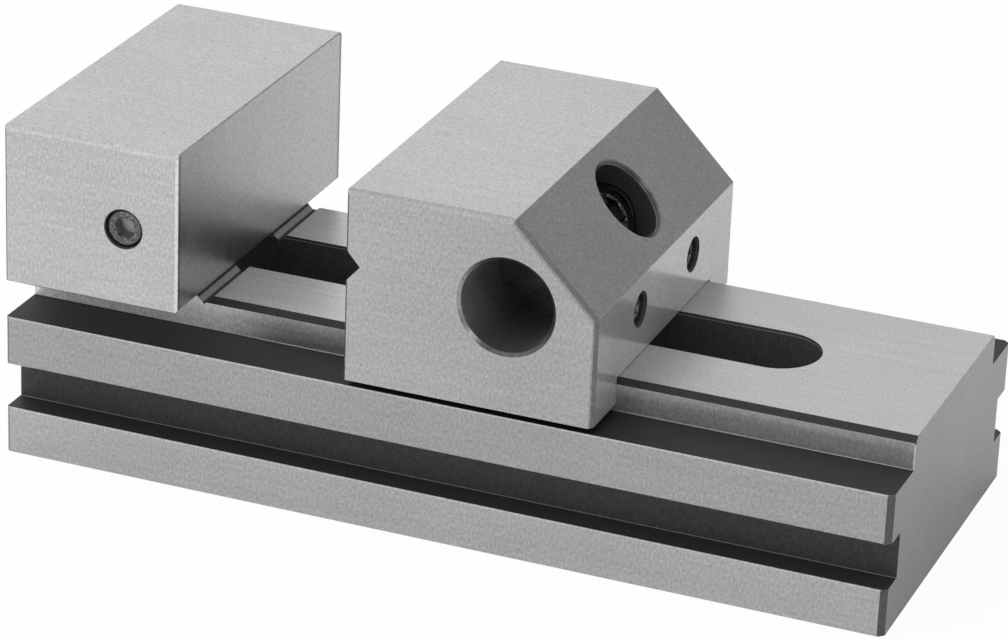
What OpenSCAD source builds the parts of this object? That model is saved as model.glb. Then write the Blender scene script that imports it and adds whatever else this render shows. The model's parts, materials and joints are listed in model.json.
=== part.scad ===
// Grinding vise with a pull-down movable jaw, for surface grinders and inspection plates.
// The body and its fixed jaw are one block of hardened steel. A cap screw runs at a slant from a
// swivel barrel in the movable jaw, through the bed slot, into a round nut bar. When the screw is
// turned in, the bar climbs into one of the notches under the bed and pulls the jaw in and down.
// X runs along the bed from the fixed jaw to the free end, Y across it, Z up from the table.

/* [Body] */
// Length of the body
body_length = 234; // [215:1:260]
// Width of the body and of both jaws
body_width = 100; // [92:1:120]
// Height of the lower rail, below the clamping groove
lower_rail_height = 12.5; // [10:0.5:15]
// Height of the clamping groove in each long side
groove_height = 12; // [8:0.5:14]
// Depth of the clamping groove
groove_depth = 8; // [4:0.5:10]
// Height of the upper rail, above the clamping groove
upper_rail_height = 13; // [10:0.5:18]
// Width of the raised bed that the movable jaw straddles
bed_width = 68; // [64:1:76]
// Height of the bed above the side ledges
bed_rise = 8.5; // [7:0.5:14]
// Chamfer along the long top edges of the bed
bed_edge_chamfer = 1.5; // [0.5:0.1:3]
// Chamfer on the rails' upright corners at the free end
free_end_chamfer = 1.6; // [0.5:0.1:3]
// Chamfer on the rails' upright corners at the fixed jaw's end
fixed_end_chamfer = 0.8; // [0.3:0.1:3]
// Small chamfer that breaks the other ground edges
edge_break = 0.3; // [0.2:0.1:0.8]

/* [Both jaws] */
// Height of both jaws above the bed
jaw_height = 43.5; // [40:0.5:55]
// Chamfer along the upper edges of both jaws' sides
jaw_top_chamfer = 1.3; // [0.5:0.1:2]
// Chamfer on both jaws' upright corners at the clamping faces
jaw_corner_chamfer = 0.6; // [0.3:0.1:1.5]

/* [Fixed jaw] */
// Length of the fixed jaw along the bed
fixed_jaw_length = 47.5; // [44:0.5:56]
// Height of the fixed jaw's overhanging underside above the bed
overhang_lift = 1.4; // [1:0.1:4]
// Width of the slanted relief slot in the corner at the fixed jaw's foot
relief_width = 3; // [1.4:0.1:3.4]
// Depth of the relief slot beyond the corner
relief_depth = 1.4; // [1:0.1:3]
// Distance of the stop screws from the fixed jaw's outer end
stop_screw_x = 32.8; // [20:0.1:38]
// Height of the stop screws above the bed
stop_screw_z = 21.5; // [14:0.5:30]
// Depth of the stop screws' blind holes
stop_hole_depth = 20; // [14:1:28]

/* [Bed slot and channel] */
// Width of the slot through the bed
slot_width = 23; // [18:0.5:26]
// Solid bed left between the slot and the free end
slot_end_wall = 35; // [32:0.5:38]
// Distance from the body's left end to the slot's hidden start, under the fixed jaw
slot_start = 36; // [30:0.5:38]
// Gap between each end of the nut bar and the wall of its channel
bar_end_clearance = 2; // [1:0.5:3]
// Thickness of the bed over the channel
bed_thickness = 20; // [18:0.5:22]
// Solid end wall of the channel on the fixed jaw's side
channel_start = 24; // [16:1:30]
// Solid end wall of the channel on the free end's side
channel_end_wall = 34; // [26:1:42]
// Corner radius of the channel
channel_corner_radius = 6; // [3:0.5:10]

/* [Notches] */
// Spacing of the notches along the bed
notch_pitch = 15; // [14.8:0.1:16]
// Notches on the fixed jaw's side of the one in use
notches_before = 3; // [1:1:3]
// Notches on the free end's side of the one in use
notches_after = 5; // [1:1:5]
// Gap round the nut bar when it sits in a notch
notch_clearance = 0.15; // [0.1:0.05:0.3]
// How far the seated bar's centre lies below the bed's lower face
notch_seat_drop = 3.5; // [3.2:0.1:4]

/* [Movable jaw] */
// Gap between the clamping faces as modelled
rest_opening = 45.1; // [20:0.1:60]
// Length of the movable jaw along the bed
moving_jaw_length = 65.5; // [62:0.5:74]
// Length of the sloped back, along the bed
slope_run = 22; // [18:0.5:24]
// Chamfer along the sloped and upright back edges
back_edge_chamfer = 1.3; // [0.5:0.1:2]
// Gap between the jaw's skirts and the ledges
skirt_clearance = 1.5; // [1:0.1:3]
// Sliding gap between each skirt and the side of the bed
guide_clearance = 0.03; // [0.01:0.01:0.08]
// Height of the clamping face's prism groove above the bed
prism_height = 23.5; // [12:0.5:32]
// Width of the prism groove at the face
prism_width = 8.6; // [6:0.2:12]
// Depth of the prism groove
prism_depth = 3.8; // [2:0.1:5]

/* [Swivel barrel] */
// Distance of the swivel axis from the clamping face
pivot_from_face = 42; // [40:0.5:44]
// Height of the swivel axis above the bed
pivot_height = 20.5; // [18.5:0.5:22]
// Diameter of the cross bore through the movable jaw
cross_bore_diameter = 24; // [23:0.5:26]
// Chamfer at the cross bore's mouths
cross_bore_chamfer = 0.9; // [0.3:0.1:1.5]
// Running clearance between the barrel and the cross bore, on the radius
barrel_clearance = 0.05; // [0.02:0.01:0.1]
// Length of the barrel
barrel_length = 49; // [44:0.2:54]
// Diameter of the barrel at the bottom of its two turned grooves
barrel_groove_diameter = 15; // [13:0.5:17]
// Width of the barrel's grooves
barrel_groove_width = 6; // [5.8:0.1:6.6]
// Width of the slot across each end of the barrel
barrel_slot_width = 5.8; // [2:0.2:8]
// Depth of the slot across each end of the barrel
barrel_slot_depth = 1.2; // [0.5:0.1:1.4]

/* [Clamp screw] */
// Angle between the screw and the bed, in degrees
screw_angle = 45; // [44:0.5:46]
// Outer diameter of the screw's thread
screw_diameter = 10; // [8:1:10]
// Length of the screw below its head
screw_length = 80; // [80:1:84]
// Diameter of the screw's head
head_diameter = 16; // [14:0.5:17]
// Height of the screw's head
head_height = 10; // [8:0.5:11]
// Width across the flats of the screw's hexagon socket
socket_width = 8; // [5:0.5:9]
// Depth of the screw's hexagon socket
socket_depth = 5; // [3:0.5:6]
// Diameter of the bore for the screw's head in the sloped back
head_bore_diameter = 21; // [20:0.5:23]
// Chamfer at the mouth of the head bore
head_bore_chamfer = 1; // [0.3:0.1:1.5]
// Diameter of the screw's passage down through the movable jaw
screw_passage_diameter = 15; // [14:0.5:17]
// Gap between the screw and the hole that it passes through in the barrel, on the radius
shank_clearance = 0.5; // [0.3:0.1:0.8]
// Gap between the screw's head and the wall of its pocket in the barrel
head_clearance = 0.5; // [0.4:0.1:0.8]
// Thickness of the hardened washer under the head
washer_thickness = 2; // [1.5:0.1:3]

/* [Nut bar] */
// Diameter of the nut bar
bar_diameter = 14; // [13:0.5:14]
// Length of the nut bar
bar_length = 50; // [44:1:50]
// Chamfer at the ends of the nut bar
bar_chamfer = 1; // [0.3:0.1:2]
// How far the bar hangs below its seat, along the screw, as modelled
bar_slack = 6; // [5.6:0.1:6.4]
// Running clearance between the screw and its mating thread, on the radius
thread_clearance = 0.05; // [0.02:0.01:0.1]
// Thickness of the retaining ring on the screw's tip
ring_thickness = 1; // [0.8:0.1:1.2]
// How far the retaining ring stands out from the screw
ring_rim = 1.6; // [1:0.1:2]

/* [Barrel screws] */
// Diameter of the barrel screws, two set screws in the movable jaw's back
barrel_screw_diameter = 8; // [6:0.5:8]
// Distance of each barrel screw from the middle of the jaw
barrel_screw_y = 19.2; // [17:0.1:19.4]
// Height of the barrel screws above the bed
barrel_screw_z = 12.5; // [11:0.5:13.5]
// Length of a barrel screw with its dog point
barrel_screw_length = 16; // [14:0.5:16.5]
// Diameter of the dog point
dog_diameter = 5.5; // [4:0.5:5.5]
// Length of the dog point
dog_length = 4; // [3:0.5:5]
// Distance of the dog point's end from the barrel's axis
dog_reach = 6.2; // [6:0.1:6.8]
// Chamfer at the mouth of the barrel screws' holes
barrel_screw_sink = 0.7; // [0.3:0.1:1.2]
// Width across the flats of a barrel screw's hexagon socket
barrel_socket_width = 4; // [3:0.5:4.5]
// Depth of a barrel screw's hexagon socket
barrel_socket_depth = 3.5; // [2:0.5:5]

/* [Stop screws] */
// Diameter of the stop screws, set screws in the sides of the fixed jaw
stop_screw_diameter = 10; // [8:0.5:12]
// Length of a stop screw
stop_screw_length = 10; // [6:1:12]
// How far a stop screw sits below the jaw's side
stop_screw_recess = 0.9; // [0.4:0.1:3]
// Chamfer at the mouth of the stop screws' holes
stop_screw_sink = 0.3; // [0.2:0.1:1.6]
// Width across the flats of a stop screw's hexagon socket
stop_socket_width = 5; // [3:0.5:5.5]
// Depth of a stop screw's hexagon socket
stop_socket_depth = 4; // [2:0.5:5]

/* [Hidden] */
$fn = 96;
over = 1;
left_x = -body_length / 2;
side_y = body_width / 2;
bed_y = bed_width / 2;
rail_z = lower_rail_height;
groove_z = rail_z + groove_height;
ledge_z = groove_z + upper_rail_height;
bed_z = ledge_z + bed_rise;
top_z = bed_z + jaw_height;
ceiling_z = bed_z - bed_thickness;
fixed_face_x = left_x + fixed_jaw_length;
moving_face_x = fixed_face_x + rest_opening;
moving_back_x = moving_face_x + moving_jaw_length;
slope_top_x = moving_back_x - slope_run;
slope_foot_z = top_z - slope_run;
slope_width = slope_run * sqrt(2);
skirt_z = ledge_z + skirt_clearance;
pivot_x = moving_face_x + pivot_from_face;
pivot_z = bed_z + pivot_height;
cross_bore_radius = cross_bore_diameter / 2;
barrel_radius = cross_bore_radius - barrel_clearance;
screw_radius = screw_diameter / 2 - thread_clearance;
bar_radius = bar_diameter / 2;
notch_radius = bar_radius + notch_clearance;
seat_z = ceiling_z - notch_seat_drop;
seat_distance = (pivot_z - seat_z) / sin(screw_angle);
seat_x = pivot_x - seat_distance * cos(screw_angle);
bar_distance = seat_distance + bar_slack;
slot_radius = slot_width / 2;
channel_width = bar_length + 2 * bar_end_clearance;
slot_end = body_length - slot_end_wall;
ring_z = -(bar_distance + bar_radius + ring_thickness);
ring_groove_radius = screw_radius - 0.6;
hexagon_factor = 1 / cos(30);

// A rectangle centred on the origin with its corners cut off
module chamfered_rectangle(width, height, chamfer) {
    w = width / 2;
    h = height / 2;
    polygon([
        [-w + chamfer, -h], [w - chamfer, -h], [w, -h + chamfer], [w, h - chamfer],
        [w - chamfer, h], [-w + chamfer, h], [-w, h - chamfer], [-w, -h + chamfer]
    ]);
}

// Stands a drawing made in (X, Z) upright and gives it a thickness along Y, centred on Y = 0
module extrude_across(width) {
    rotate([90, 0, 0])
        linear_extrude(height = width, center = true) children();
}

// Stands a drawing made in (Y, Z) upright and gives it a length along X, from X = 0
module extrude_along(length) {
    rotate([90, 0, 90]) linear_extrude(height = length) children();
}

// Puts the swivel axis at the origin and the screw's axis along +Z, towards its head
module on_screw_axis() {
    translate([pivot_x, 0, pivot_z])
        rotate([0, 90 - screw_angle, 0]) children();
}

// A hole along +Z from the origin with a chamfered mouth at Z = 0
module sunk_hole(radius, depth, chamfer) {
    translate([0, 0, -over]) cylinder(r = radius, h = depth + over);
    translate([0, 0, -over])
        cylinder(r1 = radius + chamfer + over, r2 = radius, h = chamfer + over);
}

// A hexagonal recess that opens upwards at Z = 0
module hexagon_socket(width, depth) {
    translate([0, 0, -depth])
        cylinder(r = width / 2 * hexagon_factor, h = depth + over, $fn = 6);
}

// A set screw that lies along -Z with its socket end at the origin
module set_screw(diameter, length, dog, socket_width, socket_depth) {
    r = diameter / 2 - thread_clearance;
    shank = length - dog;
    c = 0.8;
    difference() {
        union() {
            translate([0, 0, -c]) cylinder(r1 = r, r2 = r - c / 2, h = c);
            translate([0, 0, c - shank]) cylinder(r = r, h = shank - 2 * c);
            translate([0, 0, -shank]) cylinder(r1 = r - c, r2 = r, h = c);
            if (dog > 0)
                translate([0, 0, -length]) cylinder(d = dog_diameter, h = dog + over);
        }
        hexagon_socket(socket_width, socket_depth);
    }
}

// Cross-section of the rails and the bed, drawn in (Y, Z)
module body_section() {
    c = edge_break;
    half = [
        [side_y - c, 0], [side_y, c], [side_y, rail_z - c], [side_y - c, rail_z],
        [side_y - groove_depth, rail_z], [side_y - groove_depth, groove_z],
        [side_y - c, groove_z], [side_y, groove_z + c], [side_y, ledge_z - c], [side_y - c, ledge_z],
        [bed_y, ledge_z], [bed_y, bed_z - bed_edge_chamfer], [bed_y - bed_edge_chamfer, bed_z]
    ];
    count = len(half);
    mirrored = [for (i = [1 : count]) [-half[count - i].x, half[count - i].y]];
    polygon(concat(half, mirrored));
}

// Cuts both upright corners of the rails at one end of the body
module rail_corner_cuts(x, chamfer) {
    for (side = [-1, 1])
        translate([x, side * side_y, ledge_z / 2])
            rotate([0, 0, 45])
                cube([chamfer * sqrt(2), chamfer * sqrt(2), ledge_z + 2 * over], center = true);
}

// Breaks the bed's upright edges at the free end
module bed_end_breaks() {
    s = edge_break * sqrt(2);
    for (side = [-1, 1])
        translate([left_x + body_length, side * bed_y, ledge_z])
            rotate([0, 0, 45]) translate([-s / 2, -s / 2, 0]) cube([s, s, bed_rise + over]);
}

module rails_and_bed() {
    difference() {
        translate([left_x, 0, 0]) extrude_along(body_length) body_section();
        rail_corner_cuts(left_x + body_length, free_end_chamfer);
        rail_corner_cuts(left_x, fixed_end_chamfer);
        bed_end_breaks();
    }
}

// Outline of the fixed jaw seen from the side, drawn in (X, Z) round its middle: its lower edge
// at the clamping face is left to the relief slot
module fixed_jaw_outline(length, height) {
    c = edge_break;
    x = length / 2;
    z = height / 2;
    polygon([[c - x, -z], [x, -z], [x, z - c], [x - c, z], [c - x, z], [-x, z - c], [-x, c - z]]);
}

// Cross-section of the fixed jaw's block, drawn in (Y, Z) round its middle
module fixed_jaw_section(width, height) {
    c = edge_break;
    t = jaw_top_chamfer;
    y = width / 2;
    z = height / 2;
    polygon([
        [c - y, -z], [y - c, -z], [y, c - z], [y, z - t], [y - t, z], [t - y, z], [-y, z - t],
        [-y, c - z]
    ]);
}

// The overhanging block, and the full width of the bed carried up to it without its chamfers
module fixed_jaw() {
    block_z = bed_z + overhang_lift;
    middle = [left_x + fixed_jaw_length / 2, 0, (block_z + top_z) / 2];
    size = [fixed_jaw_length, body_width, top_z - block_z];
    foot_z = bed_z - bed_edge_chamfer - over;
    translate(middle) intersection() {
        extrude_across(size.y) fixed_jaw_outline(size.x, size.z);
        translate([-size.x / 2, 0, 0]) extrude_along(size.x) fixed_jaw_section(size.y, size.z);
        linear_extrude(height = size.z, center = true)
            chamfered_rectangle(size.x, size.y, jaw_corner_chamfer);
    }
    translate([left_x, -bed_y, foot_z])
        cube([fixed_jaw_length, bed_width, block_z + over - foot_z]);
}

// The long slot that the screw runs in: it starts in a blind pocket under the fixed jaw, opens
// upwards from the relief slot on, and ends in a half-round
module bed_slot() {
    start_x = left_x + slot_start + slot_radius;
    end_x = left_x + slot_end - slot_radius;
    open_x = fixed_face_x - relief_width / 4;
    height = bed_z - ceiling_z + over;
    rise = relief_width / 4;
    translate([start_x, 0, ceiling_z - over]) cylinder(r = slot_radius, h = height);
    translate([end_x, 0, ceiling_z - over]) cylinder(r = slot_radius, h = height + rise);
    translate([start_x, -slot_radius, ceiling_z - over])
        cube([end_x - start_x, slot_width, height]);
    translate([open_x, -slot_radius, bed_z - over])
        cube([end_x - open_x, slot_width, over + rise]);
}

// The pocket under the bed that the nut bar hangs in, open at the bottom
module bar_channel() {
    r = channel_corner_radius;
    x0 = left_x + channel_start;
    x1 = left_x + body_length - channel_end_wall;
    y = channel_width / 2;
    translate([0, 0, -over]) {
        translate([x0 + r, -y, 0]) cube([x1 - x0 - 2 * r, channel_width, ceiling_z + over]);
        translate([x0, r - y, 0]) cube([x1 - x0, channel_width - 2 * r, ceiling_z + over]);
        for (x = [x0 + r, x1 - r], side = [-1, 1])
            translate([x, side * (y - r), 0]) cylinder(r = r, h = ceiling_z + over);
    }
}

// Round seats for the nut bar, each with a ramp down towards the fixed jaw that lets the bar in
module notches() {
    ramp_side = bar_radius + notch_clearance / 3;
    ramp_length = 2 * notch_radius;
    for (i = [-notches_before : notches_after])
        translate([seat_x + i * notch_pitch, 0, seat_z]) {
            rotate([90, 0, 0]) cylinder(r = notch_radius, h = channel_width, center = true);
            rotate([0, 90 - screw_angle, 0])
                translate([-ramp_side, -channel_width / 2, -ramp_length])
                    cube([ramp_side, channel_width, ramp_length]);
        }
}

// Clearance in the corner between the bed and the fixed jaw, for the edge of a grinding wheel
module relief_slot() {
    translate([fixed_face_x, 0, bed_z])
        rotate([0, 45, 0]) translate([-relief_width / 2, -side_y - over, -relief_depth])
            cube([relief_width, body_width + 2 * over, relief_depth + relief_width]);
}

// Places something at each stop hole's mouth, with +Z pointing into the jaw
module at_stop_holes() {
    for (side = [-1, 1])
        translate([left_x + stop_screw_x, side * side_y, bed_z + stop_screw_z])
            rotate([side * 90, 0, 0]) children();
}

module body() {
    color("lightgray") difference() {
        union() {
            rails_and_bed();
            fixed_jaw();
        }
        bed_slot();
        bar_channel();
        notches();
        relief_slot();
        at_stop_holes() sunk_hole(stop_screw_diameter / 2, stop_hole_depth, stop_screw_sink);
    }
}

module stop_screws() {
    color("dimgray") at_stop_holes() translate([0, 0, stop_screw_recess])
        rotate([180, 0, 0])
            set_screw(stop_screw_diameter, stop_screw_length, 0, stop_socket_width, stop_socket_depth);
}

// Outline of the movable jaw seen from the side, drawn in (X, Z)
module moving_jaw_outline() {
    c = edge_break;
    middle_z = bed_z + prism_height;
    polygon([
        [moving_face_x + c, skirt_z], [moving_back_x - c, skirt_z], [moving_back_x, skirt_z + c],
        [moving_back_x, slope_foot_z], [slope_top_x, top_z], [moving_face_x + c, top_z],
        [moving_face_x, top_z - c],
        [moving_face_x, middle_z + prism_width / 2], [moving_face_x + prism_depth, middle_z],
        [moving_face_x, middle_z - prism_width / 2],
        [moving_face_x, skirt_z + c]
    ]);
}

// The movable jaw's block with its side edges chamfered
module moving_jaw_block() {
    length = moving_jaw_length;
    height = top_z - skirt_z;
    t = jaw_top_chamfer;
    c = jaw_corner_chamfer;
    b = back_edge_chamfer;
    slope_middle = [moving_back_x - slope_run / 2, 0, top_z - slope_run / 2];
    difference() {
        extrude_across(body_width) moving_jaw_outline();
        for (side = [-1, 1]) {
            translate([moving_face_x + length / 2, side * side_y, top_z]) rotate([45, 0, 0])
                cube([length + 2 * over, t * sqrt(2), t * sqrt(2)], center = true);
            translate([moving_face_x, side * side_y, skirt_z + height / 2]) rotate([0, 0, 45])
                cube([c * sqrt(2), c * sqrt(2), height + 2 * over], center = true);
            translate([moving_back_x, side * side_y, skirt_z + height / 2]) rotate([0, 0, 45])
                cube([b * sqrt(2), b * sqrt(2), height + 2 * over], center = true);
            translate(slope_middle + [0, side * side_y, 0]) rotate([0, 45, 0]) rotate([45, 0, 0])
                cube([2 * slope_width, b * sqrt(2), b * sqrt(2)], center = true);
        }
    }
}

// Room for the bed between the skirts: its chamfered edges keep clear of the inner corners
module jaw_guideway() {
    half = bed_y + guide_clearance;
    translate([moving_face_x - over, -half, skirt_z - over])
        cube([moving_jaw_length + 2 * over, 2 * half, bed_z - skirt_z + over]);
}

// Places something at each barrel screw's hole, with +Z pointing into the jaw
module at_barrel_screws() {
    for (side = [-1, 1])
        translate([moving_back_x, side * barrel_screw_y, bed_z + barrel_screw_z])
            rotate([0, -90, 0]) children();
}

module cross_bore() {
    for (side = [-1, 1])
        translate([pivot_x, side * side_y, pivot_z]) rotate([side * 90, 0, 0])
            sunk_hole(cross_bore_radius, side_y + over / 2, cross_bore_chamfer);
}

// The bore that the screw's head sits in, from the sloped back to the cross bore
module head_bore() {
    slope_distance = (slope_foot_z - pivot_z + moving_back_x - pivot_x) / sqrt(2);
    translate([pivot_x, 0, pivot_z]) rotate([0, 45, 0]) translate([0, 0, slope_distance])
        rotate([180, 0, 0]) sunk_hole(head_bore_diameter / 2, slope_distance, head_bore_chamfer);
}

module movable_jaw() {
    color("silver") difference() {
        moving_jaw_block();
        jaw_guideway();
        cross_bore();
        head_bore();
        on_screw_axis() translate([0, 0, -2 * pivot_height])
            cylinder(d = screw_passage_diameter, h = 2 * pivot_height);
        at_barrel_screws()
            sunk_hole(barrel_screw_diameter / 2, moving_back_x - pivot_x, barrel_screw_sink);
    }
}

module barrel_screws() {
    recess = moving_back_x - pivot_x - dog_reach - barrel_screw_length;
    color("dimgray") at_barrel_screws() translate([0, 0, recess])
        rotate([180, 0, 0])
            set_screw(barrel_screw_diameter, barrel_screw_length, dog_length,
                      barrel_socket_width, barrel_socket_depth);
}

// Round bar across the jaw: the screw's washer sits on the floor of its pocket, on the swivel
// axis, and the two turned grooves take the dog points that keep it in the jaw
module swivel_barrel() {
    color("gray") on_screw_axis() difference() {
        rotate([90, 0, 0]) cylinder(r = barrel_radius, h = barrel_length, center = true);
        for (side = [-1, 1]) {
            translate([0, side * barrel_screw_y, 0]) rotate([90, 0, 0]) difference() {
                cylinder(r = barrel_radius + over, h = barrel_groove_width, center = true);
                cylinder(d = barrel_groove_diameter, h = barrel_groove_width + over, center = true);
            }
            translate([0, side * (barrel_length - barrel_slot_depth + over) / 2, 0])
                cube([barrel_slot_width, barrel_slot_depth + over, 2 * (barrel_radius + over)],
                     center = true);
        }
        cylinder(r = head_diameter / 2 + head_clearance, h = barrel_radius + over);
        translate([0, 0, -barrel_radius - over])
            cylinder(r = screw_diameter / 2 + shank_clearance, h = barrel_radius + 2 * over);
    }
}

module thrust_washer() {
    color("silver") on_screw_axis() difference() {
        cylinder(d = head_diameter, h = washer_thickness);
        translate([0, 0, -over])
            cylinder(r = screw_diameter / 2 + shank_clearance, h = washer_thickness + 2 * over);
    }
}

module clamp_screw() {
    head_chamfer = 0.8;
    tip_chamfer = 1;
    color("dimgray") on_screw_axis() difference() {
        union() {
            translate([0, 0, washer_thickness]) {
                cylinder(d = head_diameter, h = head_height - head_chamfer);
                translate([0, 0, head_height - head_chamfer])
                    cylinder(d1 = head_diameter, d2 = head_diameter - 2 * head_chamfer, h = head_chamfer);
            }
            translate([0, 0, washer_thickness - screw_length + tip_chamfer])
                cylinder(r = screw_radius, h = screw_length);
            translate([0, 0, washer_thickness - screw_length])
                cylinder(r1 = screw_radius - tip_chamfer, r2 = screw_radius, h = tip_chamfer);
        }
        translate([0, 0, washer_thickness + head_height]) hexagon_socket(socket_width, socket_depth);
        translate([0, 0, ring_z]) difference() {
            cylinder(r = screw_radius + over, h = ring_thickness);
            translate([0, 0, -over])
                cylinder(r = ring_groove_radius, h = ring_thickness + 2 * over);
        }
    }
}

// Split ring in the screw's groove: the slack bar rests against it
module end_ring() {
    gap = 4;
    color("black") on_screw_axis() translate([0, 0, ring_z]) difference() {
        cylinder(r = screw_radius + ring_rim, h = ring_thickness);
        translate([0, 0, -over]) cylinder(r = ring_groove_radius, h = ring_thickness + 2 * over);
        translate([-gap / 2, 0, -over])
            cube([gap, screw_diameter, ring_thickness + 2 * over]);
    }
}

module nut_bar() {
    straight = bar_length - 2 * bar_chamfer;
    color("dimgray") on_screw_axis() translate([0, 0, -bar_distance]) difference() {
        union() {
            rotate([90, 0, 0]) cylinder(r = bar_radius, h = straight, center = true);
            for (side = [-1, 1])
                translate([0, side * straight / 2, 0]) rotate([-side * 90, 0, 0])
                    cylinder(r1 = bar_radius, r2 = bar_radius - bar_chamfer, h = bar_chamfer);
        }
        cylinder(d = screw_diameter, h = 4 * bar_radius, center = true);
    }
}

body();
stop_screws();
movable_jaw();
barrel_screws();
swivel_barrel();
thrust_washer();
clamp_screw();
end_ring();
nut_bar();
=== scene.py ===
import json
import math

import bpy
from mathutils import Matrix, Vector


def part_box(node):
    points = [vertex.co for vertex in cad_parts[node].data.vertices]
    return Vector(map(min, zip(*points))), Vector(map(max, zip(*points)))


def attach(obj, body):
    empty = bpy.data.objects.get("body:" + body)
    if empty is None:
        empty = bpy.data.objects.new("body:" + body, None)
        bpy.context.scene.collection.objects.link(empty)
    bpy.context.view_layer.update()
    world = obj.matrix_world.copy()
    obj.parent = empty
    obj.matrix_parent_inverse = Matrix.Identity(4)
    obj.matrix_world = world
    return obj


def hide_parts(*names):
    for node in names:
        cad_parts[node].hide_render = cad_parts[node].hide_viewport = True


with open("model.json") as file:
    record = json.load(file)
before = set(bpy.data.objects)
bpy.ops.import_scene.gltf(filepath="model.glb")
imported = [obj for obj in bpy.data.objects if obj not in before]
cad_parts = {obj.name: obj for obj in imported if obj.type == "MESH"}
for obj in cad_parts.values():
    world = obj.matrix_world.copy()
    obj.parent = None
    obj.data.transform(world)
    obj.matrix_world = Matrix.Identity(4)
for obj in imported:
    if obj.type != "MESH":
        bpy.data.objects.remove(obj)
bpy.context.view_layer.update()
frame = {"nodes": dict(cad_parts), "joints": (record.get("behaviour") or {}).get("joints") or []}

MM = 0.001
JOINTS = {joint["name"]: joint for joint in frame["joints"]}
NODES = frame["nodes"]

# Measures, in metres

PIVOT = Vector(JOINTS["screw_turn"]["pos_m"])
SCREW_AXIS = Vector(JOINTS["screw_turn"]["axis"]).normalized()
BODY_LOW, BODY_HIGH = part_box("body")
JAW_LOW, JAW_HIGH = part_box("movable_jaw")
STOP_SCREWS_LOW, STOP_SCREWS_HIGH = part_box("stop_screws")
BACK_SCREWS_LOW, BACK_SCREWS_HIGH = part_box("barrel_screws")

HALF_WIDTH = BODY_HIGH.y
TOP_Z = BODY_HIGH.z
GROOVE_LOW_Z = 12.5 * MM
GROOVE_HIGH_Z = 24.5 * MM
GROOVE_FLOOR_Y = 42 * MM
LEDGE_Z = 37.5 * MM
BED_Z = 46 * MM
BED_HALF_WIDTH = 34 * MM
BED_CHAMFER = 1.5 * MM
OVERHANG_Z = BED_Z + 1.4 * MM
CLAMP_FACE_X = -69.5 * MM
SLOT_HALF_WIDTH = 11.5 * MM
SLOT_X = (-81 * MM, 82 * MM)
CHANNEL_HALF_WIDTH = 27 * MM
CHANNEL_X = (-93 * MM, 83 * MM)
CHANNEL_ROOF_Z = 26 * MM
NOTCHES_OVER_ROOF = 8.5 * MM
STOP_HOLE_RADIUS = 5 * MM
STOP_HOLE_DEPTH = 20 * MM

CROSS_BORE_RADIUS = 12 * MM
CROSS_BORE_CHAMFER = 0.9 * MM
HEAD_BORE_RADIUS = 10.5 * MM
HEAD_BORE_CHAMFER = 1 * MM
SLOPE_REACH = 17.3 * MM
BACK_HOLE_Y = 19.2 * MM
BACK_HOLE_Z = BED_Z + 12.5 * MM
BACK_HOLE_RADIUS = 4 * MM

WASHER_THICKNESS = 2 * MM
RING_THICKNESS = 1 * MM
HEAD_RADIUS = 8 * MM
HEAD_HEIGHT = 10 * MM
SCREW_LENGTH = 80 * MM
SCREW_CREST = 4.95 * MM
SCREW_ROOT = 4.1 * MM
SCREW_PITCH = 1.5 * MM
THREAD_LENGTH = 45 * MM
SCREW_SOCKET = 8 * MM
SCREW_SOCKET_DEPTH = 5 * MM
KNURL_RIDGES = 66
KNURL_DEPTH = 0.22 * MM

STOP_SCREW = {"crest": 4.95 * MM, "root": 4.15 * MM, "pitch": 1.5 * MM, "socket": 5 * MM,
              "socket_depth": 4 * MM, "length": 10 * MM, "dog": 0, "rim": 0.75 * MM}
BARREL_SCREW = {"crest": 3.95 * MM, "root": 3.25 * MM, "pitch": 1.25 * MM, "socket": 4 * MM,
                "socket_depth": 3.5 * MM, "length": 16 * MM, "dog": 4 * MM, "rim": 0.25 * MM}
DOG_RADIUS = 2.75 * MM

STOP_MOUTH = (STOP_SCREWS_LOW + STOP_SCREWS_HIGH) / 2
STOP_MOUTH.y = STOP_SCREWS_HIGH.y
BACK_MOUTH = Vector((BACK_SCREWS_HIGH.x, BACK_SCREWS_HIGH.y - BARREL_SCREW["crest"],
                     (BACK_SCREWS_LOW.z + BACK_SCREWS_HIGH.z) / 2))
HEAD_TOP = PIVOT + SCREW_AXIS * (WASHER_THICKNESS + HEAD_HEIGHT)

# The head's outline: (inset from its radius, height over its seat or depth below its top)
HEAD_FOOT = [(0.5 * MM, 0), (0.12 * MM, 0.35 * MM), (0.12 * MM, 0.9 * MM), (0, 1.15 * MM)]
HEAD_CROWN = [(0, 1.35 * MM), (0.2 * MM, 0.95 * MM), (0.32 * MM, 0.55 * MM),
              (0.62 * MM, 0.16 * MM), (1.05 * MM, 0)]

# Sockets
SOCKET_CHAMFER = 0.35 * MM
DRILL_POINT_DEPTH = 0.9 * MM
DRILL_TIP_RADIUS = 0.1 * MM
DRILL_SHARE = 0.98
CUTTER_OVER = 1 * MM
CUTTER_OVERLAP = 0.02 * MM

# A thread's ridge: foot and run-out in shares of the pitch, crest in shares of the foot, and
# how much of the full height the ridge has at its very ends
THREAD_SUNK = 0.15 * MM
THREAD_FOOT_SHARE = 0.94
THREAD_CREST_SHARE = 0.16
THREAD_RUN_OUT_SHARE = 0.7
THREAD_END_RISE = 0.3

# How far each screw is turned about its own axis, in degrees
CLAMP_SCREW_SPIN = 11
STOP_SCREW_SPIN = 20
BACK_SCREW_SPINS = (12, 41)

ROUND_SEGMENTS = 48
SHANK_SEGMENTS = 72
SMOOTH_ANGLE = 32


# Modelling with operators

def deselect_all():
    if bpy.context.object and bpy.context.object.mode == "EDIT":
        bpy.ops.object.mode_set(mode="OBJECT")
    bpy.ops.object.select_all(action="DESELECT")


def make_active(piece):
    deselect_all()
    piece.select_set(True)
    bpy.context.view_layer.objects.active = piece


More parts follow.
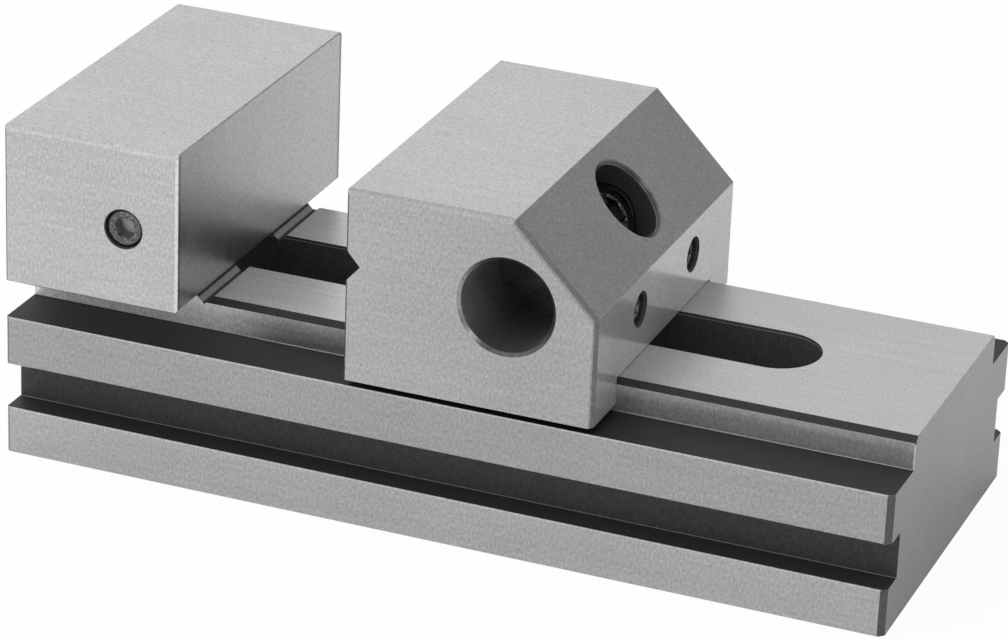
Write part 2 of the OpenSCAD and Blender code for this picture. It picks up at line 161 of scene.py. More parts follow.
def apply_modifier(piece, kind, **settings):
    make_active(piece)
    modifier = piece.modifiers.new(kind.lower(), kind)
    for name, value in settings.items():
        setattr(modifier, name, value)
    bpy.ops.object.modifier_apply(modifier=modifier.name)


def turned(name, rings, segments):
    """A turned solid along +Z: a circle extruded from ring to ring, each (radius, height)."""
    deselect_all()
    first_radius, first_z = rings[0]
    bpy.ops.mesh.primitive_circle_add(
        vertices=segments, radius=first_radius, location=(0, 0, first_z), fill_type="NGON")
    piece = bpy.context.object
    piece.name = name
    bpy.ops.object.transform_apply(location=True, rotation=True, scale=True)
    bpy.ops.object.mode_set(mode="EDIT")
    bpy.ops.mesh.select_all(action="SELECT")
    radius, z = first_radius, first_z
    for next_radius, next_z in rings[1:]:
        bpy.ops.mesh.extrude_region_move(
            TRANSFORM_OT_translate={"value": (0, 0, next_z - z)})
        if next_radius != radius:
            ratio = next_radius / radius
            bpy.ops.transform.resize(value=(ratio, ratio, 1), center_override=(0, 0, next_z))
        radius, z = next_radius, next_z
    bpy.ops.mesh.select_all(action="SELECT")
    bpy.ops.mesh.normals_make_consistent(inside=False)
    bpy.ops.object.mode_set(mode="OBJECT")
    return piece


def cut_socket(piece, across_flats, depth, mouth_z):
    """Cuts a hexagon socket with a chamfered mouth into the end that faces +Z."""
    corner_radius = across_flats / 2 / math.cos(math.radians(30))
    deselect_all()
    bpy.ops.mesh.primitive_cylinder_add(
        vertices=6, radius=corner_radius, depth=depth + CUTTER_OVER,
        location=(0, 0, mouth_z + (CUTTER_OVER - depth) / 2))
    prism = bpy.context.object
    deselect_all()
    bpy.ops.mesh.primitive_cone_add(
        vertices=ROUND_SEGMENTS, radius1=corner_radius - SOCKET_CHAMFER,
        radius2=corner_radius + SOCKET_CHAMFER, depth=2 * SOCKET_CHAMFER,
        location=(0, 0, mouth_z))
    mouth = bpy.context.object
    deselect_all()
    drill_z = mouth_z - depth - DRILL_POINT_DEPTH / 2 + CUTTER_OVERLAP
    bpy.ops.mesh.primitive_cone_add(
        vertices=ROUND_SEGMENTS, radius1=DRILL_TIP_RADIUS, radius2=across_flats / 2 * DRILL_SHARE,
        depth=DRILL_POINT_DEPTH, location=(0, 0, drill_z))
    drill_point = bpy.context.object
    for cutter in (prism, mouth, drill_point):
        apply_modifier(piece, "BOOLEAN", operation="DIFFERENCE", object=cutter, solver="EXACT")
    for cutter in (prism, mouth, drill_point):
        bpy.data.objects.remove(cutter)


def thread_ridge(name, root, crest, pitch, low_z, high_z, steps=36):
    """One closed helical ridge that stands in the core and runs out at both ends."""
    turns = int((high_z - low_z) / pitch)
    deselect_all()
    bpy.ops.mesh.primitive_plane_add(
        size=1, location=((root - THREAD_SUNK + crest) / 2, 0, low_z), rotation=(math.pi / 2, 0, 0))
    ridge = bpy.context.object
    ridge.name = name
    ridge.scale = (crest - root + THREAD_SUNK, pitch * THREAD_FOOT_SHARE, 1)
    bpy.ops.object.transform_apply(location=True, rotation=True, scale=True)
    bpy.ops.object.mode_set(mode="EDIT")
    bpy.ops.mesh.select_all(action="DESELECT")
    bpy.ops.object.mode_set(mode="OBJECT")
    for vertex in ridge.data.vertices:
        vertex.select = vertex.co.x > (root + crest) / 2
    bpy.ops.object.mode_set(mode="EDIT")
    bpy.ops.transform.resize(
        value=(1, 1, THREAD_CREST_SHARE), center_override=(crest, 0, low_z))
    bpy.ops.mesh.select_all(action="SELECT")
    bpy.ops.mesh.delete(type="ONLY_FACE")
    bpy.ops.object.mode_set(mode="OBJECT")
    apply_modifier(
        ridge, "SCREW", angle=2 * math.pi, screw_offset=pitch, iterations=turns,
        steps=steps, render_steps=steps, axis="Z", use_merge_vertices=False)
    run_out = THREAD_RUN_OUT_SHARE * pitch
    last_z = low_z + turns * pitch
    for vertex in ridge.data.vertices:
        reach = math.hypot(vertex.co.x, vertex.co.y)
        from_end = min(vertex.co.z - low_z, last_z - vertex.co.z)
        rise = max(0.0, min(1.0, from_end / run_out + THREAD_END_RISE))
        if reach > root:
            factor = (root - THREAD_SUNK / 2 + (reach - root + THREAD_SUNK / 2) * rise) / reach
            vertex.co.x *= factor
            vertex.co.y *= factor
    make_active(ridge)
    bpy.ops.object.mode_set(mode="EDIT")
    bpy.ops.mesh.select_all(action="SELECT")
    bpy.ops.mesh.fill_holes(sides=4)
    bpy.ops.mesh.select_all(action="SELECT")
    bpy.ops.mesh.normals_make_consistent(inside=False)
    bpy.ops.object.mode_set(mode="OBJECT")
    return ridge


def joined(pieces):
    make_active(pieces[0])
    for piece in pieces:
        piece.select_set(True)
    bpy.ops.object.join()
    return pieces[0]


def placed(piece, origin, axis, spin):
    """Spins the piece by so many degrees, turns +Z to the axis and moves the piece there.
    Its object stays at the origin."""
    turn = Vector((0, 0, 1)).rotation_difference(axis).to_matrix().to_4x4()
    piece.data.transform(Matrix.Translation(origin) @ turn
                         @ Matrix.Rotation(math.radians(spin), 4, "Z"))
    piece.data.update()
    return piece


def smoothed(piece):
    make_active(piece)
    bpy.ops.object.shade_smooth_by_angle(angle=math.radians(SMOOTH_ANGLE))


def copied(piece, name):
    twin = piece.copy()
    twin.data = piece.data.copy()
    twin.name = name
    bpy.context.scene.collection.objects.link(twin)
    return twin


def knurled_head():
    """The socket head: a knurled band between a rounded top edge and a smooth foot."""
    rings = [(HEAD_RADIUS - inset, height) for inset, height in HEAD_FOOT]
    rings += [(HEAD_RADIUS - inset, HEAD_HEIGHT - depth) for inset, depth in HEAD_CROWN]
    head = turned("clamp_screw_detailed", rings, 2 * KNURL_RIDGES)
    make_active(head)
    band_low, band_high = 1.0 * MM, HEAD_HEIGHT - 1.2 * MM
    for vertex in head.data.vertices:
        angle = math.atan2(vertex.co.y, vertex.co.x)
        step = round(angle / math.pi * KNURL_RIDGES)
        vertex.select = band_low < vertex.co.z < band_high and step % 2 == 0
    bpy.ops.object.mode_set(mode="EDIT")
    ratio = 1 - KNURL_DEPTH / HEAD_RADIUS
    bpy.ops.transform.resize(value=(ratio, ratio, 1), center_override=(0, 0, 0))
    bpy.ops.object.mode_set(mode="OBJECT")
    cut_socket(head, SCREW_SOCKET, SCREW_SOCKET_DEPTH, HEAD_HEIGHT)
    return head


def clamp_screw():
    """Knurled socket head, plain shank and cut thread, as one piece."""
    head = knurled_head()
    plain_end = THREAD_LENGTH - SCREW_LENGTH
    tip = -SCREW_LENGTH
    thread_start = tip + 1.0 * MM
    fillet_radius = SCREW_CREST + 0.25 * MM
    shank = turned("shank", [
        (SCREW_ROOT - 1 * MM, tip), (SCREW_ROOT - 0.1 * MM, tip + 0.9 * MM),
        (SCREW_ROOT, thread_start), (SCREW_ROOT, plain_end), (SCREW_CREST, plain_end + 1.2 * MM),
        (SCREW_CREST, -0.6 * MM), (fillet_radius, -0.1 * MM), (fillet_radius, 0.4 * MM)],
        SHANK_SEGMENTS)
    ring_low = ring_height()
    below_ring = ring_low - 0.1 * MM
    above_ring = ring_low + RING_THICKNESS + 0.9 * MM
    lower = thread_ridge("thread_low", SCREW_ROOT, SCREW_CREST, SCREW_PITCH,
                         thread_start, below_ring)
    upper = thread_ridge("thread_high", SCREW_ROOT, SCREW_CREST, SCREW_PITCH,
                         above_ring, plain_end)
    screw = joined([head, shank, lower, upper])
    smoothed(screw)
    placed(screw, PIVOT + SCREW_AXIS * WASHER_THICKNESS, SCREW_AXIS, CLAMP_SCREW_SPIN)
    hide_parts("clamp_screw")
    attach(screw, "screw")
    return screw


def ring_height():
    """Height of the retaining ring's lower face along the screw, from under the head."""
    low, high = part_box("end_ring")
    middle = (low + high) / 2
    return (middle - PIVOT).dot(SCREW_AXIS) - WASHER_THICKNESS - RING_THICKNESS / 2


def set_screw(name, sizes):
    """A threaded set screw along -Z, with its socket end at the origin."""
    root, length, dog = sizes["root"], sizes["length"], sizes["dog"]
    rim_radius = root + sizes["rim"]
    edge = 0.75 * MM
    foot_chamfer = 0.9 * MM
    dog_chamfer = 0.35 * MM
    shank_low = -(length - dog)
    rings = [(root - foot_chamfer, shank_low), (root, shank_low + edge), (root, -edge),
             (rim_radius, -edge), (rim_radius, -0.25 * MM), (rim_radius - 0.3 * MM, 0)]
    if dog:
        rings = [(DOG_RADIUS - dog_chamfer, -length), (DOG_RADIUS, -length + dog_chamfer),
                 (DOG_RADIUS, shank_low)] + rings
    core = turned(name, rings, ROUND_SEGMENTS)
    cut_socket(core, sizes["socket"], sizes["socket_depth"], 0)
    thread = thread_ridge("thread", root, sizes["crest"], sizes["pitch"],
                          shank_low + foot_chamfer, -edge, steps=32)
    screw = joined([core, thread])
    smoothed(screw)
    return screw


def stop_screws():
    first = set_screw("stop_screw_near", STOP_SCREW)
    second = copied(first, "stop_screw_far")
    for screw, side in ((first, -1), (second, 1)):
        mouth = Vector((STOP_MOUTH.x, side * STOP_MOUTH.y, STOP_MOUTH.z))
        placed(screw, mouth, Vector((0, side, 0)), STOP_SCREW_SPIN)
        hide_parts("stop_screws")
        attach(screw, "base")
    return [first, second]


def barrel_screws():
    first = set_screw("barrel_screw_near", BARREL_SCREW)
    second = copied(first, "barrel_screw_far")
    for screw, side, spin in zip((first, second), (-1, 1), BACK_SCREW_SPINS):
        mouth = Vector((BACK_MOUTH.x, side * BACK_MOUTH.y, BACK_MOUTH.z))
        placed(screw, mouth, Vector((1, 0, 0)), spin)
        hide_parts("barrel_screws")
        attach(screw, "jaw")
    return [first, second]


# Materials

# Scales of the noise, so a larger one is a finer grain
FINE_LINES = 2600
COARSE_LINES = 420
GROUND_SPECKLE = 1700
GROUND_CLOUD = 38
GROUND_PITS = 900
SMALL_SPECKLE = 2200
SMALL_CLOUD = 160
SMALL_SPOTS = 1300

# Scale of the pattern along the grinding lines, where it is 1 across them
ALONG_LINES = 0.02

# Rounding of the sharp edges, and the bump of the grain
GROUND_EDGE = 0.18 * MM
SMALL_EDGE = 0.12 * MM
GROUND_BUMP = 0.02 * MM
SMALL_BUMP = 0.03 * MM

# How far a painted region reaches past its own faces, and how soft its border is
SKIN = 0.05 * MM
SOFT = 0.04 * MM

GROUND_TONE = 0.53
WHITE = (1, 1, 1, 1)


class Graph:
    """Adds nodes and wires to a node tree, one column after another."""

    def __init__(self, tree):
        self.tree = tree
        self.column = 0

    def node(self, kind, **settings):
        node = self.tree.nodes.new(kind)
        self.column += 1
        node.location = (self.column * 180, -40 * (self.column % 7))
        for name, value in settings.items():
            setattr(node, name, value)
        return node

    def wire(self, value, socket):
        if isinstance(value, bpy.types.NodeSocket):
            self.tree.links.new(value, socket)
        elif value is not None:
            socket.default_value = value

    def math(self, operation, first, second=None):
        node = self.node("ShaderNodeMath", operation=operation)
        self.wire(first, node.inputs[0])
        self.wire(second, node.inputs[1])
        return node.outputs[0]

    def vector(self, operation, first, second=None):
        node = self.node("ShaderNodeVectorMath", operation=operation)
        self.wire(first, node.inputs[0])
        self.wire(second, node.inputs[1])
        return node.outputs["Value" if operation in ("LENGTH", "DOT_PRODUCT") else "Vector"]

    def noise(self, vector, scale, detail, roughness):
        node = self.node("ShaderNodeTexNoise")
        self.wire(vector, node.inputs["Vector"])
        self.wire(scale, node.inputs["Scale"])
        node.inputs["Detail"].default_value = detail
        node.inputs["Roughness"].default_value = roughness
        return node.outputs["Fac"]

    def ramp(self, value, low, high, out_low=0.0, out_high=1.0, smooth=True):
        node = self.node("ShaderNodeMapRange",
                         interpolation_type="SMOOTHSTEP" if smooth else "LINEAR")
        for i, number in enumerate((value, low, high, out_low, out_high)):
            self.wire(number, node.inputs[i])
        return node.outputs[0]

    def mix(self, factor, first, second):
        node = self.node("ShaderNodeMix", data_type="RGBA")
        self.wire(factor, node.inputs["Factor"])
        self.wire(first, node.inputs[6])
        self.wire(second, node.inputs[7])
        return node.outputs[2]

    def blend(self, factor, first, second):
        node = self.node("ShaderNodeMix", data_type="FLOAT")
        self.wire(factor, node.inputs["Factor"])
        self.wire(first, node.inputs[2])
        self.wire(second, node.inputs[3])
        return node.outputs[0]

    def split(self, vector):
        node = self.node("ShaderNodeSeparateXYZ")
        self.wire(vector, node.inputs[0])
        return node.outputs

    def group(self, tree, **values):
        node = self.node("ShaderNodeGroup")
        node.node_tree = tree
        for name, value in values.items():
            self.wire(value, node.inputs[name])
        return node.outputs


def new_group(name, inputs, outputs):
    """An empty node group with named sockets; returns its graph and its two ends."""
    tree = bpy.data.node_groups.new(name, "ShaderNodeTree")
    for label, kind, value in inputs:
        socket = tree.interface.new_socket(label, in_out="INPUT", socket_type=kind)
        if value is not None:
            socket.default_value = value
    for label, kind in outputs:
        tree.interface.new_socket(label, in_out="OUTPUT", socket_type=kind)
    graph = Graph(tree)
    start = graph.node("NodeGroupInput")
    end = graph.node("NodeGroupOutput")
    return graph, start.outputs, end.inputs


def grinding_group():
    """Fine parallel grinding lines. Stretch is 1 across the lines and small along them. The
    group gives a streak and a speckle about 0.5, a slow cloud and a bump height."""
    graph, given, result = new_group(
        "grinding_lines",
        [("Position", "NodeSocketVector", None), ("Stretch", "NodeSocketVector", (0, 1, 1))],
        [("Streak", "NodeSocketFloat"), ("Speckle", "NodeSocketFloat"),
         ("Cloud", "NodeSocketFloat"), ("Height", "NodeSocketFloat")])
    along = graph.vector("MULTIPLY", given["Position"], given["Stretch"])
    fine = graph.noise(along, FINE_LINES, 2.0, 0.6)
    coarse = graph.noise(along, COARSE_LINES, 3.0, 0.6)
    grain = graph.vector("MULTIPLY", given["Position"], (1, 1, 0.55))
    speckle = graph.noise(grain, GROUND_SPECKLE, 2.0, 0.7)
    cloud = graph.noise(given["Position"], GROUND_CLOUD, 3.0, 0.5)
    streak = graph.math("ADD", graph.math("MULTIPLY", fine, 0.55),
                        graph.math("MULTIPLY", coarse, 0.45))
    graph.wire(streak, result["Streak"])
    graph.wire(speckle, result["Speckle"])
    graph.wire(cloud, result["Cloud"])
    height = graph.math("ADD", fine, graph.math("MULTIPLY", coarse, 0.5))
    graph.wire(height, result["Height"])
    return graph.tree


def edge_group():
    """A mask of the narrow rounding along sharp edges, and the normal that rounds them."""
    graph, given, result = new_group(
        "edge_rounding", [("Radius", "NodeSocketFloat", GROUND_EDGE)],
        [("Mask", "NodeSocketFloat"), ("Normal", "NodeSocketVector")])
    bevel = graph.node("ShaderNodeBevel", samples=4)
    graph.wire(given["Radius"], bevel.inputs["Radius"])
    flat = graph.node("ShaderNodeNewGeometry").outputs["True Normal"]
    alike = graph.vector("DOT_PRODUCT", bevel.outputs[0], flat)
    graph.wire(graph.ramp(alike, 0.999, 0.93), result["Mask"])
    graph.wire(bevel.outputs[0], result["Normal"])
    return graph.tree


GRINDING = grinding_group()
EDGES = edge_group()


def new_material(name):
    material = bpy.data.materials.new(name)
    material.use_nodes = True
    tree = material.node_tree
    tree.nodes.clear()
    graph = Graph(tree)
    output = graph.node("ShaderNodeOutputMaterial")
    shader = graph.node("ShaderNodeBsdfPrincipled")
    tree.links.new(shader.outputs[0], output.inputs["Surface"])
    return material, graph, shader


def object_coordinates(graph):
    return graph.node("ShaderNodeTexCoord").outputs


def ground_steel(name, finish_and_painted_light):
    """Ground steel. The function passed in gives masks and tones by place: where it is dark and how
    dark there, partly blackened steel and partly painted shade; how light the ground faces are,
    mostly painted light and shade by face; where they are lapped or hazy; and where a painted
    highlight runs along a corner."""
    material, graph, shader = new_material(name)
    coordinates = object_coordinates(graph)
    position, normal = coordinates["Object"], coordinates["Normal"]
    nx = graph.split(normal)[0]
    facing_x = graph.ramp(graph.math("ABSOLUTE", nx), 0.8, 0.9)
    stretch = graph.mix(facing_x, (ALONG_LINES, 1, 1, 1), (1, 1, ALONG_LINES, 1))
    lines = graph.group(GRINDING, Position=position, Stretch=stretch)
    look = finish_and_painted_light(graph, position, normal)
    depth = graph.ramp(facing_x, 0, 1, 0.12, 0.07, smooth=False)
    streak = graph.ramp(lines["Streak"], 0.25, 0.75, graph.math("SUBTRACT", 1, depth),
                        graph.math("ADD", 1, depth), smooth=False)
    speckle = graph.ramp(lines["Speckle"], 0.3, 0.7, 0.79, 1.21, smooth=False)
    cloud = graph.ramp(lines["Cloud"], 0.3, 0.7, 0.975, 1.02)
    shade = graph.math("MULTIPLY", graph.math("MULTIPLY", streak, speckle), cloud)
    pits = graph.ramp(graph.noise(position, GROUND_PITS, 1.0, 0.4), 0.76, 0.80, 1.0, 0.55)
    tone = graph.math("MULTIPLY", graph.math("MULTIPLY", shade, pits), look["tone"])
    # Painted highlight: the rounding along sharp edges is painted lighter.
    edges = graph.group(EDGES, Radius=GROUND_EDGE)
    tone = graph.blend(graph.math("MULTIPLY", edges["Mask"], 0.28), tone, 0.8)
    dark_shade = graph.math("MULTIPLY", graph.ramp(lines["Speckle"], 0.25, 0.75, 0.75, 1.3),
                            look["dark_tone"])
    # The light lines are painted highlights, blended in over the face and dark tones.
    value = graph.blend(look["light"], graph.blend(look["dark"], tone, dark_shade), 0.75)
    tint = graph.mix(look["dark"], (1.0, 0.998, 1.004, 1), (1.03, 0.965, 1.04, 1))
    colour = graph.node("ShaderNodeVectorMath", operation="SCALE")
    graph.wire(tint, colour.inputs[0])
    graph.wire(value, colour.inputs["Scale"])
    graph.wire(colour.outputs[0], shader.inputs["Base Color"])
    ground = graph.ramp(lines["Streak"], 0.3, 0.7, 0.30, 0.40, smooth=False)
    roughness = graph.blend(look["lapped"], ground, 0.11)
    graph.wire(graph.blend(look["dark"], roughness, 0.55), shader.inputs["Roughness"])
    metal = graph.math("SUBTRACT", 1, look["haze"])
    graph.wire(graph.blend(look["dark"], metal, 0.35), shader.inputs["Metallic"])
    bump = graph.node("ShaderNodeBump")
    bump.inputs["Strength"].default_value = 0.12
    bump.inputs["Distance"].default_value = GROUND_BUMP
    graph.wire(lines["Height"], bump.inputs["Height"])
    graph.wire(edges["Normal"], bump.inputs["Normal"])
    graph.wire(bump.outputs[0], shader.inputs["Normal"])
    return material


def within(graph, value, low, high):
    """1 where value lies between low and high, with a short soft edge."""
    rise = graph.ramp(value, low - SOFT, low + SOFT)
    fall = graph.ramp(value, high + SOFT, high - SOFT)
    return graph.math("MULTIPLY", rise, fall)


def near(graph, value, level, reach):
    """1 where value lies no farther than reach from level."""
    return within(graph, value, level - reach, level + reach)


def facing(graph, share):
    """1 on faces that look along a direction, given the normal's share of it."""
    return graph.ramp(share, 0.90, 0.95)


def not_facing(graph, share):
    return graph.ramp(share, 0.95, 0.90)


def either(graph, *masks):
    """1 where any of the masks is 1."""
    total = masks[0]
    for mask in masks[1:]:
        total = graph.math("MAXIMUM", total, mask)
    return total


def both(graph, *masks):
    """1 where all of the masks are 1."""
    total = masks[0]
    for mask in masks[1:]:
        total = graph.math("MULTIPLY", total, mask)
    return total


def partly_sideways(graph, sideways):
    """1 on the chamfers between a side and another face."""
    return both(graph, graph.ramp(sideways, 0.3, 0.5), graph.ramp(sideways, 0.92, 0.86))


def distance(graph, first, second):
    return graph.math("SQRT", graph.math("ADD", graph.math("MULTIPLY", first, first),
                                         graph.math("MULTIPLY", second, second)))


def painted(graph, start, regions):
    """Starts from one value and blends in each (mask, value) in turn."""
    value = start
    for mask, there in regions:
        value = graph.blend(mask, value, there)
    return value


def body_finish_and_painted_light(graph, position, normal):
    """Grooves, ledges, slot, channel, stop holes and the chamfers along the bed are dark as
    blackened steel. The relief slot's border is painted dark as shade, and the groove's floor and
    the ledges at the foot of the bed's wall darker still as painted shade. Most faces' tones are
    painted light and shade, and the light lines are painted highlights along corners."""
    x, y, z = graph.split(position)
    nx, ny, nz = graph.split(normal)
    side = graph.math("ABSOLUTE", y)
    sideways = graph.math("ABSOLUTE", ny)
    up = facing(graph, nz)
    upright = graph.ramp(graph.math("ABSOLUTE", nz), 0.6, 0.4)
    slanted = partly_sideways(graph, sideways)

    groove = both(graph, within(graph, z, GROOVE_LOW_Z - SKIN, GROOVE_HIGH_Z + SKIN),
                  within(graph, side, GROOVE_FLOOR_Y - 2 * SKIN, HALF_WIDTH - 0.4 * MM))
    ledge = both(graph, up, near(graph, z, LEDGE_Z, 0.5 * MM))
    bed_chamfer = both(
        graph, slanted,
        within(graph, z, BED_Z - BED_CHAMFER - 0.3 * MM, BED_Z + 0.2 * MM),
        within(graph, side, BED_HALF_WIDTH - BED_CHAMFER - 0.5 * MM, BED_HALF_WIDTH + 0.2 * MM))
    slot = both(graph, upright, within(graph, side, 0, SLOT_HALF_WIDTH + 0.2 * MM),
                within(graph, z, 2 * SKIN, BED_Z - SKIN),
                within(graph, x, SLOT_X[0] - 1 * MM, SLOT_X[1] + 0.5 * MM))
    channel = both(graph, within(graph, side, 0, CHANNEL_HALF_WIDTH + 0.2 * MM),
                   within(graph, z, 4 * SKIN, CHANNEL_ROOF_Z + NOTCHES_OVER_ROOF),
                   within(graph, x, CHANNEL_X[0] - 0.5 * MM, CHANNEL_X[1] + 0.5 * MM))
    stop_reach = distance(graph, graph.math("SUBTRACT", x, STOP_MOUTH.x),
                          graph.math("SUBTRACT", z, STOP_MOUTH.z))
    stop_hole = both(graph, within(graph, stop_reach, 0, STOP_HOLE_RADIUS + 0.4 * MM),
                     within(graph, side, HALF_WIDTH - STOP_HOLE_DEPTH - 10 * MM,
                            HALF_WIDTH + 0.2 * MM), not_facing(graph, sideways))

    relief_x = graph.math("SUBTRACT", x, CLAMP_FACE_X)
    relief_z = graph.math("SUBTRACT", z, BED_Z)
    relief_floor = both(graph, graph.ramp(nx, 0.5, 0.6), graph.ramp(nz, 0.5, 0.6),
                        within(graph, relief_x, -2.2 * MM, 0.3 * MM),
                        within(graph, relief_z, -2.2 * MM, 0.3 * MM))
    # Painted shade: the relief slot floor is darkened along both of its borders.
    across = graph.math("ABSOLUTE", graph.math("SUBTRACT", relief_x, relief_z))
    painted_shade_relief_border = both(graph, relief_floor, graph.ramp(across, 1.0 * MM, 1.3 * MM))

    dark = either(graph, groove, ledge, bed_chamfer, slot, channel, stop_hole, painted_shade_relief_border)
    # Painted shade: the groove's floor and the ledges at the foot of the bed's wall are darker than
    # the blackened steel around them.
    painted_shade_ledge_foot = both(graph, ledge, graph.ramp(
        side, BED_HALF_WIDTH + 1.6 * MM, BED_HALF_WIDTH + 1.2 * MM))
    dark_tone = painted(graph, 0.055, [
        (both(graph, groove, up), 0.043),
        (ledge, 0.022),
        (painted_shade_ledge_foot, 0.010),
        (slot, 0.078),
        (bed_chamfer, 0.032)])

    facing_side = facing(graph, sideways)
    outer_side = within(graph, side, HALF_WIDTH - 5 * MM, HALF_WIDTH + 1 * MM)
    upper_rail = both(graph, facing_side, outer_side,
                      within(graph, z, GROOVE_HIGH_Z + 0.1 * MM, LEDGE_Z + 0.1 * MM))
    lower_rail = both(graph, facing_side, outer_side,
                      within(graph, z, -1 * MM, GROOVE_LOW_Z - 0.1 * MM))
    free_end = both(graph, facing(graph, nx),
                    within(graph, x, BODY_HIGH.x - 2 * MM, BODY_HIGH.x + 1 * MM))
    fixed_end_corner = graph.ramp(x, BODY_LOW.x + 3 * MM, BODY_LOW.x + 1 * MM)
    free_end_corner = both(graph, graph.ramp(x, BODY_HIGH.x - 7 * MM, BODY_HIGH.x - 3 * MM),
                           graph.ramp(z, LEDGE_Z + 0.1 * MM, LEDGE_Z - 0.1 * MM))
    end_corner = both(graph, slanted, graph.ramp(graph.math("ABSOLUTE", nz), 0.3, 0.2),
                      either(graph, fixed_end_corner, free_end_corner))
    side_of_bed = both(graph, facing_side, near(graph, side, BED_HALF_WIDTH, 0.5 * MM))
    painted_light_wall = both(graph, side_of_bed, graph.ramp(x, -45 * MM, -70 * MM))
    bed_wall = both(graph, side_of_bed, graph.ramp(x, 0, 40 * MM))
    fixed_side = both(graph, facing_side, near(graph, side, HALF_WIDTH, 1 * MM),
                      graph.ramp(z, OVERHANG_Z - 0.4 * MM, OVERHANG_Z))
    top_chamfer = both(graph, slanted, graph.ramp(nz, 0.6, 0.7), graph.ramp(z, 80 * MM, 85 * MM))
    top_chamfer_painted_tone = graph.ramp(z, TOP_Z - 0.9 * MM, TOP_Z - 0.4 * MM, 0.63, 0.56)
    painted_highlight_corner = both(graph, graph.ramp(nx, 0.4, 0.5), slanted,
                      within(graph, x, CLAMP_FACE_X - 3.5 * MM, CLAMP_FACE_X + 0.5 * MM),
                      graph.ramp(z, OVERHANG_Z - 0.1 * MM, OVERHANG_Z + 0.1 * MM))
    clamp_face = both(graph, facing(graph, nx), near(graph, x, CLAMP_FACE_X, 0.1 * MM))
    painted_shade_clamp_edge = both(graph, clamp_face, graph.ramp(
        side, HALF_WIDTH - 2.2 * MM, HALF_WIDTH - 1.4 * MM))
    bed = both(graph, up, near(graph, z, BED_Z, 0.2 * MM))
    # Painted light and shade: most of these tones stand in for how the lamps and the floor light
    # each face: the fixed jaw's near face lighter, the rails, free end and relief floor darker, a
    # painted highlight on the fixed jaw's corner chamfer, painted light on the bed's wall under the
    # fixed jaw, painted shade along the clamp face's edges and a painted highlight on the top
    # chamfers. The end corners' chamfers are dark as blackened steel.
    tone = painted(graph, GROUND_TONE, [
        (fixed_side, 0.58),
        (upper_rail, 0.42),
        (lower_rail, 0.50),
        (free_end, 0.31),
        (end_corner, 0.12),
        (clamp_face, 0.535),
        (painted_shade_clamp_edge, 0.30),
        (bed, 0.53),
        (bed_wall, 0.56),
        (relief_floor, 0.30),
        (painted_highlight_corner, 0.97),
        (painted_light_wall, 0.85),
        (top_chamfer, top_chamfer_painted_tone)])
    # Painted light: the bed between the jaws is lightened where the jaws shade it.
    painted_light_bed = both(graph, bed, graph.ramp(x, 30 * MM, -20 * MM))
    tone = graph.blend(painted_light_bed, tone, graph.math("MULTIPLY", tone, 1.28))
    haze = painted(graph, 0.0, [
        (clamp_face, 0.05),
        (bed, 0.42),
        (bed_wall, 0.20),
        (painted_light_wall, 0.60)])

    # Painted highlights: light lines along the foot of the bed's wall, the groove's inner corner
    # and just below the slot's top edge.
    wall_foot = both(graph, up,
                     within(graph, side, BED_HALF_WIDTH - 0.2 * MM, BED_HALF_WIDTH + 0.3 * MM),
                     within(graph, z, LEDGE_Z - 0.2 * MM, LEDGE_Z + 0.3 * MM),
                     graph.ramp(x, -60 * MM, -50 * MM))
    groove_foot = both(graph, up,
                       within(graph, side, GROOVE_FLOOR_Y - 0.2 * MM, GROOVE_FLOOR_Y + 0.4 * MM),
                       within(graph, z, GROOVE_LOW_Z - 0.2 * MM, GROOVE_LOW_Z + 0.3 * MM))
    slot_line = both(graph, slot, within(graph, z, BED_Z - 1.0 * MM, BED_Z - 0.7 * MM))
    light = either(graph, graph.math("MULTIPLY", either(graph, wall_foot, groove_foot), 0.5),
                   graph.math("MULTIPLY", slot_line, 0.3))
    return {"dark": dark, "dark_tone": dark_tone, "tone": tone, "lapped": 0.0,
            "haze": haze, "light": light}


